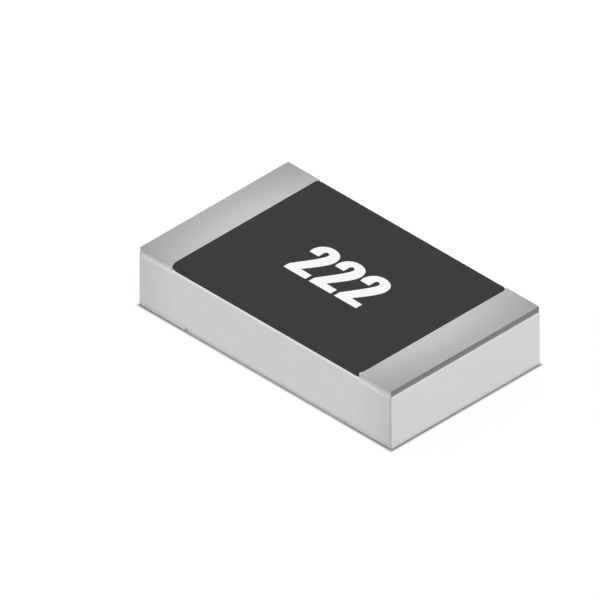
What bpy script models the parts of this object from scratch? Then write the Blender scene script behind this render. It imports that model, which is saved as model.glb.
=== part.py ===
"""Thick-film chip resistor for surface mounting, modelled layer by layer as it is printed and plated.

X runs along the length, Y across the width and Z up. The origin is the middle of the footprint,
on the plane that the two terminals stand on. All lengths are in metres.
"""

import math
from dataclasses import dataclass
from dataclasses import replace

import bmesh
import bpy
from mathutils import Vector

MM = 0.001
UM = 0.000001

# Overall body
BODY_LENGTH = 2.10 * MM
BODY_WIDTH = 1.24 * MM
BODY_HEIGHT = 0.42 * MM

# Terminal lengths as seen from above and from below
TOP_TERMINAL_LENGTH = 0.265 * MM
BOTTOM_TERMINAL_LENGTH = 0.38 * MM

# Clearance between layers that are bonded to each other
BOND_GAP = 1.2 * UM

# Ceramic block: chamfers left by the lines scribed in its upper face to snap it along, and the
# lighter ones below
END_SCRIBE_CHAMFER = 16.0 * UM
SIDE_SCRIBE_CHAMFER = 8.0 * UM
LOWER_EDGE_CHAMFER = 8.0 * UM

# Plated and sputtered wraps, each measured outwards from the one inside it
TIN_THICKNESS = 5.0 * UM
NICKEL_THICKNESS = 4.0 * UM
EDGE_ELECTRODE_THICKNESS = 3.0 * UM
TERMINAL_SIDE_INSET = 3.0 * UM
PAD_END_INSET = 6.0 * UM
TIN_EDGE_RADIUS = 5.0 * UM
NICKEL_EDGE_RADIUS = 4.0 * UM

# How far the edge electrode reaches in from the ceramic's end
EDGE_WRAP_TOP_REACH = 0.16 * MM
EDGE_WRAP_BOTTOM_REACH = 0.21 * MM

# Printed conductors
TOP_ELECTRODE_THICKNESS = 8.0 * UM
COVER_ELECTRODE_THICKNESS = 10.0 * UM
BOTTOM_ELECTRODE_THICKNESS = 5.2 * UM
ELECTRODE_END_INSET = 18.0 * UM
ELECTRODE_UNDER_COAT = 0.16 * MM
ELECTRODE_CORNER_RADIUS = 0.04 * MM

# Resistive film, and the glass over it
FILM_THICKNESS = 6.0 * UM
FILM_LAP = 0.07 * MM
GLASS_THICKNESS = 6.0 * UM
GLASS_END_MARGIN = 0.025 * MM
GLASS_SIDE_MARGIN = 0.04 * MM

# Black protective coat
COAT_SIDE_INSET = 9.0 * UM
COAT_BEYOND_GLASS = 0.14 * MM
COAT_CORNER_RADIUS = 32.0 * UM
COAT_SHOULDER = 6.0 * UM
COAT_JOINT_GAP = 1.5 * UM

# Laser trim: a plunge in from one side of the film, then a run along it
TRIM_KERF_WIDTH = 0.040 * MM
TRIM_KERF_IN_CERAMIC = 5.0 * UM
TRIM_PLUNGE_X = -0.17 * MM
TRIM_PLUNGE_DEPTH = 0.36 * MM
TRIM_RUN_LENGTH = 0.34 * MM
TRIM_RUN_OUT = 0.02 * MM

# How far a cutting shape passes a face that it has to clear
OVERRUN = 5.0 * UM

# The glass and the coat are shells a few micrometres thick, hollowed by closed shapes only
THIN_SHELL_SOLVER = "MANIFOLD"

CORNER_SEGMENTS = 5
SHOULDER_SEGMENTS = 2
PLATING_EDGE_SEGMENTS = 2
WELD_DISTANCE = 0.01 * UM
FLAT_ANGLE = math.radians(0.05)


# Heights, from the seating plane up
def bottom_stack():
    """Height of the ceramic's underside: wraps and back electrode, with a bond gap on each."""
    wraps = TIN_THICKNESS + NICKEL_THICKNESS + EDGE_ELECTRODE_THICKNESS
    return wraps + BOTTOM_ELECTRODE_THICKNESS + 4 * BOND_GAP


def top_stack():
    """What stands on the ceramic's upper face at the terminals."""
    wraps = TIN_THICKNESS + NICKEL_THICKNESS + EDGE_ELECTRODE_THICKNESS
    prints = TOP_ELECTRODE_THICKNESS + COVER_ELECTRODE_THICKNESS
    return wraps + prints + 5 * BOND_GAP


def end_stack():
    """What stands on the ceramic's end face."""
    return TIN_THICKNESS + NICKEL_THICKNESS + EDGE_ELECTRODE_THICKNESS + 3 * BOND_GAP


CERAMIC_BOTTOM = bottom_stack()
CERAMIC_TOP = BODY_HEIGHT - top_stack()
CERAMIC_END = BODY_LENGTH / 2 - end_stack()
CERAMIC_SIDE = BODY_WIDTH / 2

TOP_ELECTRODE_LOW = CERAMIC_TOP + BOND_GAP
TOP_ELECTRODE_HIGH = TOP_ELECTRODE_LOW + TOP_ELECTRODE_THICKNESS
COVER_ELECTRODE_LOW = TOP_ELECTRODE_HIGH + BOND_GAP
COVER_ELECTRODE_HIGH = COVER_ELECTRODE_LOW + COVER_ELECTRODE_THICKNESS
BOTTOM_ELECTRODE_HIGH = CERAMIC_BOTTOM - BOND_GAP
BOTTOM_ELECTRODE_LOW = BOTTOM_ELECTRODE_HIGH - BOTTOM_ELECTRODE_THICKNESS

# Places along X, for the +X half. A pad's inner corners reach half way round the coat's rounded ones
COAT_END = BODY_LENGTH / 2 - TOP_TERMINAL_LENGTH - COAT_JOINT_GAP
PAD_START = COAT_END - COAT_CORNER_RADIUS * (1 - math.cos(math.pi / 4))
ELECTRODE_END = CERAMIC_END - ELECTRODE_END_INSET
ELECTRODE_START = COAT_END - ELECTRODE_UNDER_COAT
FILM_END = ELECTRODE_START + FILM_LAP
GLASS_END = FILM_END + GLASS_END_MARGIN
BOTTOM_START = BODY_LENGTH / 2 - BOTTOM_TERMINAL_LENGTH
BOTTOM_ELECTRODE_START = BOTTOM_START + TIN_THICKNESS + NICKEL_THICKNESS + 2 * BOND_GAP

# Places along Y, for the +Y half
COAT_SIDE = CERAMIC_SIDE - COAT_SIDE_INSET
GLASS_SIDE = COAT_SIDE - COAT_BEYOND_GLASS
FILM_SIDE = GLASS_SIDE - GLASS_SIDE_MARGIN
TIN_SIDE = CERAMIC_SIDE - TERMINAL_SIDE_INSET
NICKEL_SIDE = TIN_SIDE - TIN_THICKNESS - BOND_GAP
EDGE_ELECTRODE_SIDE = NICKEL_SIDE - NICKEL_THICKNESS - BOND_GAP
ELECTRODE_SIDE = EDGE_ELECTRODE_SIDE - EDGE_ELECTRODE_THICKNESS - BOND_GAP


@dataclass
class Wrap:
    """Outer limits of a layer that wraps round the ceramic's +X end, and how round its edges are."""

    end: float
    side: float
    top: float
    bottom: float
    top_start: float
    bottom_start: float
    edge_radius: float = 0.0

    def grown(self, by):
        """The same layer with every outer face moved outwards."""
        return Wrap(
            self.end + by,
            self.side + by,
            self.top + by,
            self.bottom - by,
            self.top_start - by,
            self.bottom_start - by,
            self.edge_radius,
        )


@dataclass
class Sheet:
    """Limits of a printed sheet that lies on the ceramic and climbs onto both top electrodes."""

    end: float
    side: float
    thickness: float


TIN = Wrap(
    BODY_LENGTH / 2,
    TIN_SIDE,
    BODY_HEIGHT,
    0.0,
    PAD_START,
    BOTTOM_START,
    TIN_EDGE_RADIUS,
)
NICKEL = Wrap(
    TIN.end - TIN_THICKNESS - BOND_GAP,
    NICKEL_SIDE,
    TIN.top - TIN_THICKNESS - BOND_GAP,
    TIN.bottom + TIN_THICKNESS + BOND_GAP,
    PAD_START,
    BOTTOM_START + TIN_THICKNESS + BOND_GAP,
    NICKEL_EDGE_RADIUS,
)
EDGE_ELECTRODE = Wrap(
    NICKEL.end - NICKEL_THICKNESS - BOND_GAP,
    EDGE_ELECTRODE_SIDE,
    NICKEL.top - NICKEL_THICKNESS - BOND_GAP,
    NICKEL.bottom + NICKEL_THICKNESS + BOND_GAP,
    CERAMIC_END - EDGE_WRAP_TOP_REACH,
    CERAMIC_END - EDGE_WRAP_BOTTOM_REACH,
)
FILM = Sheet(FILM_END, FILM_SIDE, FILM_THICKNESS)
GLASS = Sheet(GLASS_END, GLASS_SIDE, FILM_THICKNESS + BOND_GAP + GLASS_THICKNESS)


def clear_scene():
    """Start from an empty scene."""
    for item in list(bpy.data.objects):
        bpy.data.objects.remove(item, do_unlink=True)


def new_collection(name):
    """A collection linked to the scene."""
    made = bpy.data.collections.new(name)
    bpy.context.scene.collection.children.link(made)
    return made


def surface(name, colour, roughness, metallic):
    """A plain surface of one colour, made once and shared by every piece that has it."""
    made = bpy.data.materials.get(name) or bpy.data.materials.new(name)
    made.use_nodes = True
    shader = made.node_tree.nodes["Principled BSDF"]
    shader.inputs["Base Color"].default_value = (*colour, 1.0)
    shader.inputs["Roughness"].default_value = roughness
    shader.inputs["Metallic"].default_value = metallic
    return made


def alumina():
    return surface("alumina_ceramic", (0.80, 0.80, 0.79), 0.62, 0.0)


def silver_palladium():
    return surface("silver_palladium_print", (0.55, 0.53, 0.50), 0.45, 1.0)


def sputtered_alloy():
    return surface("sputtered_edge_metal", (0.42, 0.42, 0.43), 0.40, 1.0)


def nickel_plate():
    return surface("nickel_plate", (0.52, 0.50, 0.46), 0.35, 1.0)


def matte_tin():
    return surface("matte_tin_plate", (0.66, 0.66, 0.66), 0.42, 1.0)


def ruthenium_oxide():
    return surface("ruthenium_oxide_film", (0.05, 0.05, 0.06), 0.50, 0.0)


def overglaze():
    return surface("overcoat_glass", (0.10, 0.16, 0.12), 0.15, 0.0)


def black_resin():
    return surface("black_resin", (0.032, 0.032, 0.032), 0.50, 0.0)


def finish_part(solid, frame):
    """Put a sub-part in its collection and under the empty that places it."""
    frame.parts.objects.link(solid)
    solid.parent = frame.pivot
    solid.data.materials.clear()
    return solid


def finish_cutter(solid, frame):
    """A shape that only cuts: drawn as wire and left out of renders."""
    frame.cutters.objects.link(solid)
    solid.parent = frame.pivot
    solid.hide_render = True
    solid.display_type = "WIRE"
    return solid


@dataclass
class Frame:
    """Where new shapes go: the two collections, and the empty that places them."""

    parts: bpy.types.Collection
    cutters: bpy.types.Collection
    pivot: bpy.types.Object


def new_pivot(name, frame, turn):
    """An empty at the origin, turned about Z."""
    pivot = bpy.data.objects.new(name, None)
    pivot.empty_display_size = BODY_HEIGHT
    pivot.rotation_euler = (0.0, 0.0, turn)
    pivot.parent = frame.pivot
    frame.parts.objects.link(pivot)
    return replace(frame, pivot=pivot)


def block(name, low, high):
    """A box between two corners, with its origin at its middle."""
    low = Vector(low)
    high = Vector(high)
    shape = bmesh.new()
    bmesh.ops.create_cube(shape, size=1.0)
    bmesh.ops.scale(shape, vec=high - low, verts=shape.verts)
    mesh = bpy.data.meshes.new(name)
    shape.to_mesh(mesh)
    shape.free()
    solid = bpy.data.objects.new(name, mesh)
    solid.location = (low + high) / 2
    return solid


def prism(name, outline, thickness):
    """A flat outline given a thickness, half of it to each side of its plane."""
    curve = bpy.data.curves.new(name, "CURVE")
    curve.dimensions = "2D"
    curve.fill_mode = "BOTH"
    curve.extrude = thickness / 2
    spline = curve.splines.new("POLY")
    spline.points.add(len(outline) - 1)
    for point, place in zip(spline.points, outline, strict=True):
        point.co = (*place, 0.0, 1.0)
    spline.use_cyclic_u = True
    drawn = bpy.data.objects.new(name + "_outline", curve)
    bpy.context.scene.collection.objects.link(drawn)
    graph = bpy.context.evaluated_depsgraph_get()
    mesh = bpy.data.meshes.new_from_object(drawn.evaluated_get(graph))
    bpy.data.objects.remove(drawn, do_unlink=True)
    mesh.name = name
    shape = bmesh.new()
    shape.from_mesh(mesh)
    bmesh.ops.remove_doubles(shape, verts=shape.verts, dist=WELD_DISTANCE)
    bmesh.ops.dissolve_limit(shape, angle_limit=FLAT_ANGLE, verts=shape.verts, edges=shape.edges)
    bmesh.ops.recalc_face_normals(shape, faces=shape.faces)
    shape.to_mesh(mesh)
    shape.free()
    return bpy.data.objects.new(name, mesh)


def across_width(name, outline, side):
    """A profile drawn in the XZ plane and run across the chip from -side to +side."""
    solid = prism(name, outline, 2 * side)
    solid.rotation_euler = (math.pi / 2, 0.0, 0.0)
    return solid


def along_length(name, outline, end):
    """A profile drawn in the YZ plane and run along the chip from -end to +end."""
    solid = prism(name, outline, 2 * end)
    solid.rotation_euler = (math.pi / 2, 0.0, math.pi / 2)
    return solid


def rounded_outline(low, high, radii):
    """A rectangle in plan. radii holds its corners' radii, anticlockwise from the low corner."""
    corners = ((low[0], low[1]), (high[0], low[1]), (high[0], high[1]), (low[0], high[1]))
    points = []
    for number, (corner, radius) in enumerate(zip(corners, radii, strict=True)):
        if radius <= 0:
            points.append(corner)
            continue
        inward_x = 1 if number in (0, 3) else -1
        inward_y = 1 if number in (0, 1) else -1
        centre = (corner[0] + inward_x * radius, corner[1] + inward_y * radius)
        first = math.pi + number * math.pi / 2
        for step in range(CORNER_SEGMENTS + 1):
            angle = first + step / CORNER_SEGMENTS * math.pi / 2
            points.append((centre[0] + radius * math.cos(angle), centre[1] + radius * math.sin(angle)))
    return points


def plate(name, low, high, radii):
    """A flat plate between two corners, with rounded corners in plan."""
    solid = prism(name, rounded_outline(low, high, radii), high[2] - low[2])
    solid.location = (0.0, 0.0, (low[2] + high[2]) / 2)
    return solid


def weigh_edges(solid, weight):
    """Set how much of its width a Bevel modifier takes at each edge, from the edge's two end points."""
    mesh = solid.data
    weights = mesh.attributes.new("bevel_weight_edge", "FLOAT", "EDGE")
    for edge in mesh.edges:
        ends = [mesh.vertices[index].co for index in edge.vertices]
        weights.data[edge.index].value = float(weight(*ends))


def bevel(solid, width, segments):
    """Chamfer or round the weighed edges."""
    modifier = solid.modifiers.new("bevel", "BEVEL")
    modifier.limit_method = "WEIGHT"
    modifier.width = width
    modifier.segments = segments


def combine(solid, other, operation, solver="EXACT"):
    """Cut another solid away, or join it on."""
    modifier = solid.modifiers.new(other.name, "BOOLEAN")
    modifier.operation = operation
    modifier.solver = solver
    modifier.object = other


def upper_edge(first, second):
    """True for a level edge in the upper half of its piece."""
    return abs(first.z - second.z) < WELD_DISTANCE and first.z > 0


def electrode_outline_block(name, start, low, high, grow):
    """A printed electrode with rounded inner corners, or a larger copy of it for cutting."""
    radius = ELECTRODE_CORNER_RADIUS + grow
    return plate(
        name,
        (start - grow, -ELECTRODE_SIDE - grow, low),
        (ELECTRODE_END + grow, ELECTRODE_SIDE + grow, high),
        (radius, 0.0, 0.0, radius),
    )


def trim_outline(margin):
    """Plan of the trim cut: in across the film's -Y edge, then along the length."""
    half = TRIM_KERF_WIDTH / 2 - margin
    start = -GLASS_SIDE - TRIM_RUN_OUT + margin
    turn = -FILM_SIDE + TRIM_PLUNGE_DEPTH
    finish = TRIM_PLUNGE_X + TRIM_RUN_LENGTH - margin
    return (
        (TRIM_PLUNGE_X - half, start),
        (TRIM_PLUNGE_X + half, start),
        (TRIM_PLUNGE_X + half, turn - half),
        (finish, turn - half),
        (finish, turn + half),
        (TRIM_PLUNGE_X - half, turn + half),
    )


def trim_shape(name, margin, low, high):
    """The trim cut as a solid between two heights."""
    solid = prism(name, trim_outline(margin), high - low)
    solid.location = (0.0, 0.0, (low + high) / 2)
    return solid


def sheet_outline(sheet, grow, below):
    """Profile of a sheet that is level between the electrodes and climbs onto each of them.

    grow moves its upper face and its ends outwards, and below moves its under face down.
    """
    foot = ELECTRODE_START - BOND_GAP
    low = CERAMIC_TOP + BOND_GAP
    rise = TOP_ELECTRODE_THICKNESS + BOND_GAP
    high = low + sheet.thickness + grow
    step = foot - sheet.thickness - grow
    end = sheet.end + grow
    right = (
        (foot + below, low - below),
        (foot + below, low + rise - below),
        (end, low + rise - below),
        (end, high + rise),
        (step, high + rise),
        (step, high),
    )
    left = [(-place[0], place[1]) for place in reversed(right)]
    return [*right, *left]


def sheet_solid(name, sheet, grow=0.0, below=0.0):
    """A printed sheet, or a larger copy of it for cutting."""
    return across_width(name, sheet_outline(sheet, grow, below), sheet.side + grow)


def wrap_skin(wrap):
    """Profile of a wrap's outer faces, from the start of its upper pad round to that of its lower one.

    The upper pad ends a little short of the end face, and slopes down to it over the scribed edge.
    """
    cover = wrap.end - CERAMIC_END
    ledge = CERAMIC_TOP - END_SCRIBE_CHAMFER + cover * math.tan(math.pi / 8)
    pad_end = wrap.end - PAD_END_INSET
    return [
        (wrap.top_start, wrap.top),
        (pad_end, wrap.top),
        (pad_end, ledge + PAD_END_INSET),
        (wrap.end, ledge),
        (wrap.end, wrap.bottom),
        (wrap.bottom_start, wrap.bottom),
    ]


def wrap_outline(wrap, bite):
    """Profile of a wrap: a C whose inner faces lie deeper than the ceramic's surface."""
    inner_top = CERAMIC_TOP - bite
    inner_bottom = CERAMIC_BOTTOM + bite
    inner_end = CERAMIC_END - bite
    return [
        *wrap_skin(wrap),
        (wrap.bottom_start, inner_bottom),
        (inner_end - LOWER_EDGE_CHAMFER, inner_bottom),
        (inner_end, inner_bottom + LOWER_EDGE_CHAMFER),
        (inner_end, inner_top - END_SCRIBE_CHAMFER),
        (inner_end - END_SCRIBE_CHAMFER, inner_top),
        (wrap.top_start, inner_top),
    ]


def wrap_solid(name, wrap, bite):
    """A wrap-around layer that bites into the ceramic, before what it encloses is cut out of it."""
    return across_width(name, wrap_outline(wrap, bite), wrap.side)


def round_wrap(solid, wrap):
    """Round the outer edges of a wrap, as plating does. Its profile lies in its mesh's own XY plane."""
    skin = wrap_skin(wrap)
    pad_corner = skin[1]
    foot_corner = skin[4]

    def lies_on(point, places):
        return any(math.dist((point.x, point.y), place) < WELD_DISTANCE for place in places)

    def outer_edge(first, second):
        """True along both sides of the outer faces, and across the pad's and the foot's end."""
        runs_across = abs(first.z - second.z) > WELD_DISTANCE
        places = (pad_corner, foot_corner) if runs_across else skin
        return lies_on(first, places) and lies_on(second, places)

    weigh_edges(solid, outer_edge)
    bevel(solid, wrap.edge_radius, PLATING_EDGE_SEGMENTS)


def wrap_cutter(name, wrap, frame):
    """A copy of a layer, larger by the bond gap, that clears the layer outside it."""
    larger = wrap.grown(BOND_GAP)
    if wrap.top_start == PAD_START:
        larger.top_start = PAD_START - OVERRUN
    solid = wrap_solid(name, larger, OVERRUN)
    return finish_cutter(solid, frame)


def ceramic_outline(half, grow, upper_chamfer, beyond=0.0):
    """Profile of the ceramic block, grown outwards.

    beyond runs its chamfers on past its upper and lower face.
    """
    bottom = CERAMIC_BOTTOM - grow
    top = CERAMIC_TOP + grow
    right = (
        (half - LOWER_EDGE_CHAMFER - beyond, bottom - beyond),
        (half, bottom + LOWER_EDGE_CHAMFER),
        (half, top - upper_chamfer),
        (half - upper_chamfer - beyond, top + beyond),
    )
    left = [(-place[0], place[1]) for place in reversed(right)]
    return [*right, *left]


def ceramic_block(name, frame, grow=0.0):
    """The ceramic with its chamfers, or a larger copy of it: one profile crossed with another."""
    end = CERAMIC_END + grow
    side = CERAMIC_SIDE + grow
    lengthways = ceramic_outline(end, grow, END_SCRIBE_CHAMFER)
    crossways = ceramic_outline(side, grow, SIDE_SCRIBE_CHAMFER, OVERRUN)
    solid = across_width(name, lengthways, side + OVERRUN)
    sides = along_length(name + "_sides", crossways, end + OVERRUN)
    combine(solid, finish_cutter(sides, frame), "INTERSECT")
    return solid


def add_ceramic(frame, trim):
    """The alumina block, with scribed edges and the trim groove burnt into its upper face."""
    solid = finish_part(ceramic_block("ceramic_substrate", frame), frame)
    combine(solid, trim, "DIFFERENCE")
    solid.data.materials.append(alumina())


def add_film(frame, trim):
    """The resistive film with its L-shaped trim cut."""
    solid = finish_part(sheet_solid("resistive_film", FILM), frame)
    combine(solid, trim, "DIFFERENCE")
    solid.data.materials.append(ruthenium_oxide())


def add_glass(frame, trim):
    """The glass print that covers the film on top, at its sides and at its ends."""
    solid = finish_part(sheet_solid("glass_overcoat", GLASS), frame)
    film_room = sheet_solid("film_room", FILM, grow=BOND_GAP, below=OVERRUN)
    combine(solid, finish_cutter(film_room, frame), "DIFFERENCE", THIN_SHELL_SOLVER)
    combine(solid, trim, "DIFFERENCE", THIN_SHELL_SOLVER)
    solid.data.materials.append(overglaze())


def coat_slab(name, grow=0.0, beyond=0.0):
    """The flat rounded slab of the coat, or a wider and higher copy of it for cutting."""
    return plate(
        name,
        (-COAT_END - grow, -COAT_SIDE - grow, CERAMIC_TOP + BOND_GAP - beyond),
        (COAT_END + grow, COAT_SIDE + grow, BODY_HEIGHT + beyond),
        (COAT_CORNER_RADIUS + grow,) * 4,
    )


def add_coat(frame, ends):
    """The black coat, hollowed for what it covers. It fills the trim cut too."""
    solid = finish_part(coat_slab("protective_coat"), frame)
    weigh_edges(solid, upper_edge)
    bevel(solid, COAT_SHOULDER, SHOULDER_SEGMENTS)
    glass_room = sheet_solid("glass_room", GLASS, grow=BOND_GAP, below=OVERRUN)
    combine(solid, finish_cutter(glass_room, frame), "DIFFERENCE", THIN_SHELL_SOLVER)
    for end in ends:
        combine(solid, end, "DIFFERENCE", THIN_SHELL_SOLVER)
    filled_from = CERAMIC_TOP - TRIM_KERF_IN_CERAMIC + BOND_GAP
    filled_to = CERAMIC_TOP + GLASS.thickness + TRIM_KERF_IN_CERAMIC
    filling = trim_shape("trim_filling", BOND_GAP, filled_from, filled_to)
    combine(solid, finish_cutter(filling, frame), "UNION", THIN_SHELL_SOLVER)
    solid.data.materials.append(black_resin())


def add_top_electrode(frame, side):
    """The print that the film climbs onto. Gives back a cutter that makes room for it."""
    place = (ELECTRODE_START, TOP_ELECTRODE_LOW, TOP_ELECTRODE_HIGH)
    solid = electrode_outline_block("top_electrode_" + side, *place, 0.0)
    finish_part(solid, frame)
    solid.data.materials.append(silver_palladium())
    room = electrode_outline_block(
        "top_electrode_room_" + side,
        ELECTRODE_START,
        TOP_ELECTRODE_LOW - OVERRUN,
        TOP_ELECTRODE_HIGH + BOND_GAP,
        BOND_GAP,
    )
    return finish_cutter(room, frame)


def add_cover_electrode(frame, side, coat_room):
    """The second print, up to the coat's edge. Gives back a cutter for the wraps."""
    low = (PAD_START, -ELECTRODE_SIDE, COVER_ELECTRODE_LOW)
    high = (ELECTRODE_END, ELECTRODE_SIDE, COVER_ELECTRODE_HIGH)
    solid = finish_part(block("cover_electrode_" + side, low, high), frame)
    combine(solid, coat_room, "DIFFERENCE")
    solid.data.materials.append(silver_palladium())
    room = block(
        "top_prints_room_" + side,
        (PAD_START - OVERRUN, -ELECTRODE_SIDE - BOND_GAP, CERAMIC_TOP - OVERRUN),
        (ELECTRODE_END + BOND_GAP, ELECTRODE_SIDE + BOND_GAP, COVER_ELECTRODE_HIGH + BOND_GAP),
    )
    return finish_cutter(room, frame)


def add_bottom_electrode(frame, side):
    """The back print. Gives back a cutter for the wraps."""
    place = (BOTTOM_ELECTRODE_START, BOTTOM_ELECTRODE_LOW, BOTTOM_ELECTRODE_HIGH)
    solid = electrode_outline_block("bottom_electrode_" + side, *place, 0.0)
    finish_part(solid, frame)
    solid.data.materials.append(silver_palladium())
    room = electrode_outline_block(
        "bottom_electrode_room_" + side,
        BOTTOM_ELECTRODE_START,
        BOTTOM_ELECTRODE_LOW - BOND_GAP,
        BOTTOM_ELECTRODE_HIGH + OVERRUN,
        BOND_GAP,
    )
    return finish_cutter(room, frame)


def add_wrap(name, wrap, rooms, frame, material):
    """One wrap-around layer, with room for everything that it encloses."""
    solid = finish_part(wrap_solid(name, wrap, 2 * OVERRUN), frame)
    if wrap.edge_radius > 0:
        round_wrap(solid, wrap)
    for room in rooms:
        combine(solid, room, "DIFFERENCE")
    solid.data.materials.append(material)


def add_termination(frame, side, turn, ceramic_room, coat_room):
    """Everything at one end, drawn at +X. Gives back the cutter for the top electrode."""
    here = new_pivot("termination_" + side, frame, turn)
    top_room = add_top_electrode(here, side)
    prints_room = add_cover_electrode(here, side, coat_room)
    bottom_room = add_bottom_electrode(here, side)
    rooms = (prints_room, bottom_room, ceramic_room)
    add_wrap("edge_electrode_" + side, EDGE_ELECTRODE, rooms, here, sputtered_alloy())
    edge_room = wrap_cutter("edge_electrode_room_" + side, EDGE_ELECTRODE, here)
    nickel_rooms = (*rooms, edge_room, coat_room)
    add_wrap("nickel_barrier_" + side, NICKEL, nickel_rooms, here, nickel_plate())
    nickel_room = wrap_cutter("nickel_room_" + side, NICKEL, here)
    tin_rooms = (nickel_room, ceramic_room, coat_room)
    add_wrap("tin_plating_" + side, TIN, tin_rooms, here, matte_tin())
    return top_room


def build():
    """The whole resistor under one empty."""
    clear_scene()
    parts = new_collection("chip_resistor")
    cutters = new_collection("chip_resistor_cutters")
    origin = bpy.data.objects.new("chip_resistor_origin", None)
    origin.empty_display_size = BODY_HEIGHT
    parts.objects.link(origin)
    frame = Frame(parts, cutters, origin)
    trim = trim_shape(
        "trim_cut",
        0.0,
        CERAMIC_TOP - TRIM_KERF_IN_CERAMIC,
        CERAMIC_TOP + GLASS.thickness + TRIM_KERF_IN_CERAMIC,
    )
    finish_cutter(trim, frame)
    add_ceramic(frame, trim)
    add_film(frame, trim)
    add_glass(frame, trim)
    ceramic_room = finish_cutter(ceramic_block("ceramic_room", frame, BOND_GAP), frame)
    coat_room = finish_cutter(coat_slab("coat_room", COAT_JOINT_GAP, OVERRUN), frame)
    right = add_termination(frame, "right", 0.0, ceramic_room, coat_room)
    left = add_termination(frame, "left", math.pi, ceramic_room, coat_room)
    add_coat(frame, (right, left))


build()
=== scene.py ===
"""Thick-film chip resistor: its surfaces, its printed code and a plain studio.

X runs along the length, Y across the width and Z up. The origin is the middle of the footprint.
Lengths are in metres, and the shaders measure places in millimetres.
"""

import math
from contextlib import contextmanager

import bmesh
import bpy
from bpy.props import FloatProperty, FloatVectorProperty, IntProperty, PointerProperty
from mathutils import Matrix, Vector, noise
from mathutils.geometry import delaunay_2d_cdt


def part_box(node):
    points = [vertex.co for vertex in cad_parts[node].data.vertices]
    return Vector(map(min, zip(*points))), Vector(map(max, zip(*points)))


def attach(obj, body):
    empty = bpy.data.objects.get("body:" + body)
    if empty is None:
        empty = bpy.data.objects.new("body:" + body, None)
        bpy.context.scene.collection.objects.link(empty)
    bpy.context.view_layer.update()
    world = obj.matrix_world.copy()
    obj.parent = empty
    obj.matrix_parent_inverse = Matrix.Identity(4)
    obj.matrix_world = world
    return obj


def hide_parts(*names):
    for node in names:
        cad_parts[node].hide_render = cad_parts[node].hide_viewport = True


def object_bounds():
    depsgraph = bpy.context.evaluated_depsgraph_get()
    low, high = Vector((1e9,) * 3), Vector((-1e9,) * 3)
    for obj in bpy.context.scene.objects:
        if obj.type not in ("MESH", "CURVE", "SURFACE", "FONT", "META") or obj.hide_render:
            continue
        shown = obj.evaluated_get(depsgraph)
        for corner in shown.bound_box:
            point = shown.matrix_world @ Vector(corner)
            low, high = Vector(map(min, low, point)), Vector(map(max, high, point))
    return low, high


bl_info = {
    "name": "Thick-film chip resistor",
    "version": (1, 0, 0),
    "blender": (4, 5, 0),
    "location": "3D View > Sidebar > Resistor",
    "description": "Builds the pieces of a surface-mount chip resistor and a plain studio for it",
    "category": "Object",
}

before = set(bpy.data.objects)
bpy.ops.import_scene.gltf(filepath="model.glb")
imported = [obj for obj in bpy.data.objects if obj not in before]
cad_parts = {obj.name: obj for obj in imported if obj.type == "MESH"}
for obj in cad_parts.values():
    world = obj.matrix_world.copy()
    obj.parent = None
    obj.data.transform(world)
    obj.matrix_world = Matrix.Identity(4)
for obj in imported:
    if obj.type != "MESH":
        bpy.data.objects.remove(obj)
CAD_LOW, CAD_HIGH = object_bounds()

MM = 0.001
UM = 0.000001
SIDES = {"left": -1, "right": 1}
WHITE = (1.0, 1.0, 1.0)

# How far the detailed surfaces stay inside the CAD ones, whose coarser roundings they must clear
SKIN_MARGIN = 0.3 * UM
# Points less than this apart are one
SAME_PLACE = 0.02 * UM
# More than the CAD's gap for a bond, and less than any layer
BOND_REACH = 2 * UM
# Smallest radius that is left where a rounded edge is moved inwards
SHARPEST = 0.8 * UM
# A flat face with more corners than this is divided
MOST_CORNERS = 8
# How much larger a mesh is while it is cut and shaded, clear of Blender's smallest lengths
LARGER = 100000.0
# Faces that meet at less than this are shaded as one surface
SMOOTH_ANGLE = math.radians(32)
# Segments in a quarter turn of a terminal's edges, and of the coat's corners and shoulder
EDGE_SEGMENTS = 5
COAT_SEGMENTS = 6


# Properties: the sizes and colours that a user would change


def length(label, help_text, default):
    """A size in metres."""
    return FloatProperty(
        name=label, description=help_text, default=default, min=0.0, precision=6, unit="LENGTH"
    )


def share(label, help_text, default, most=1.0):
    """A plain number from 0."""
    return FloatProperty(
        name=label, description=help_text, default=default, min=0.0, max=most, subtype="FACTOR"
    )


def colour(label, help_text, default):
    """A linear colour."""
    return FloatVectorProperty(
        name=label, description=help_text, default=default, min=0.0, max=1.0, subtype="COLOR"
    )


def angle(label, help_text, default):
    """An angle in radians."""
    return FloatProperty(name=label, description=help_text, default=default, subtype="ANGLE")


class CeramicSettings(bpy.types.PropertyGroup):
    """The alumina block."""

    body: colour("Ceramic", "Colour of the fired alumina", (0.800, 0.799, 0.795))
    # Painted shade on the long sides towards the terminals
    end_shade: share("End shade", "How much darker the long sides get at the terminals", 0.14)
    # Painted highlight band under the upper edge
    scribe_highlight: share("Scribe band", "How much lighter the band under the upper edge is", 0.06)
    # Painted light on the lowest band of the sides
    chamfer_painted_light: share("Lower chamfer", "How much lighter the chamfer below is", 0.20)
    unevenness: length("Unevenness", "Depth of the dips from snapping the sides", 0.5 * UM)
    mesh_step: length("Mesh step", "Spacing of the mesh on the sides", 12 * UM)


class CoatSettings(bpy.types.PropertyGroup):
    """The black protective coat."""

    resin: colour("Resin", "Colour of the cured resin", (0.031, 0.031, 0.031))
    shoulder: length("Shoulder", "Radius of the rounded upper edge", 6 * UM)
    corner: length("Corner", "Radius of the corners in plan", 32 * UM)
    ink_room: length("Room for the ink", "How far the coat is below the terminals' tops", 1.0 * UM)
    edge_wander: length("Edge wander", "How far the printed edge wanders inwards", 0.8 * UM)
    mesh_step: length("Mesh step", "Spacing of the mesh on the top", 20 * UM)


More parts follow.
